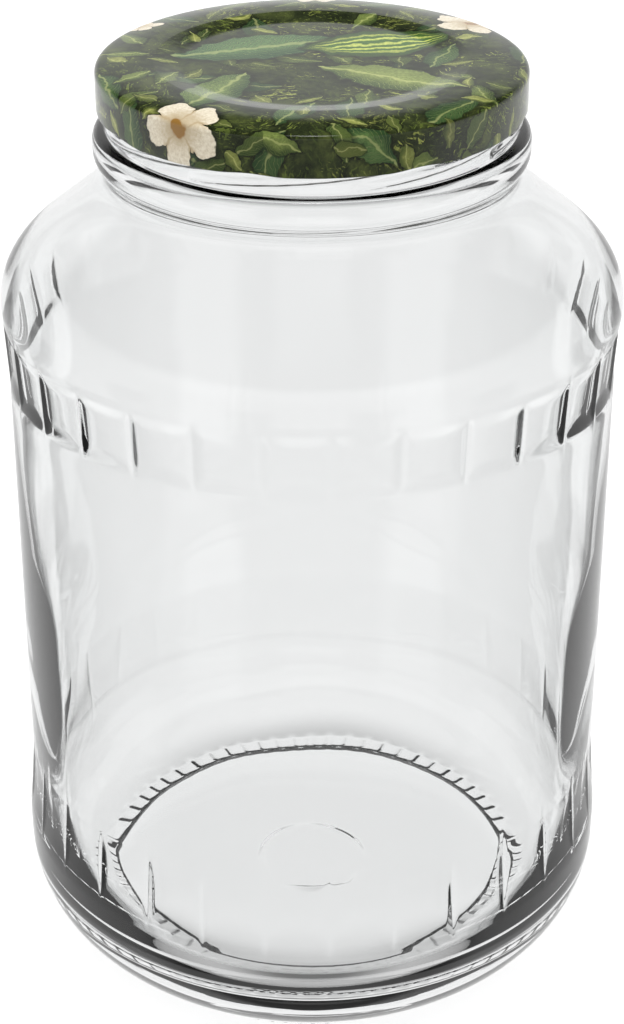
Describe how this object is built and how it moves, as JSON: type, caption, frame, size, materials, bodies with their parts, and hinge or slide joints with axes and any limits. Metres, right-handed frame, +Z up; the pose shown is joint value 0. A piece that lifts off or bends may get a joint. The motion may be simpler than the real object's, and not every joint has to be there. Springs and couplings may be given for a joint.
{
  "type": "screw-top glass jar",
  "caption": "Large clear glass storage jar with bands of recessed panels above and below its plain label wall, a threaded neck and a printed metal twist-off lid.",
  "frame": {"origin": "middle of the ring that the jar stands on, at the level of the table", "axes": "+Z up the jar's axis to the lid, -Y towards the viewer, +X to the viewer's right"},
  "size_m": [0.1686, 0.1686, 0.2623],
  "materials": {
    "clear_glass": "gloss",
    "printed_lid": "gloss"
  },
  "bodies": {
    "root": {"glass_jar": "clear_glass", "twist_off_lid": "printed_lid"}
  },
  "joints": []
}
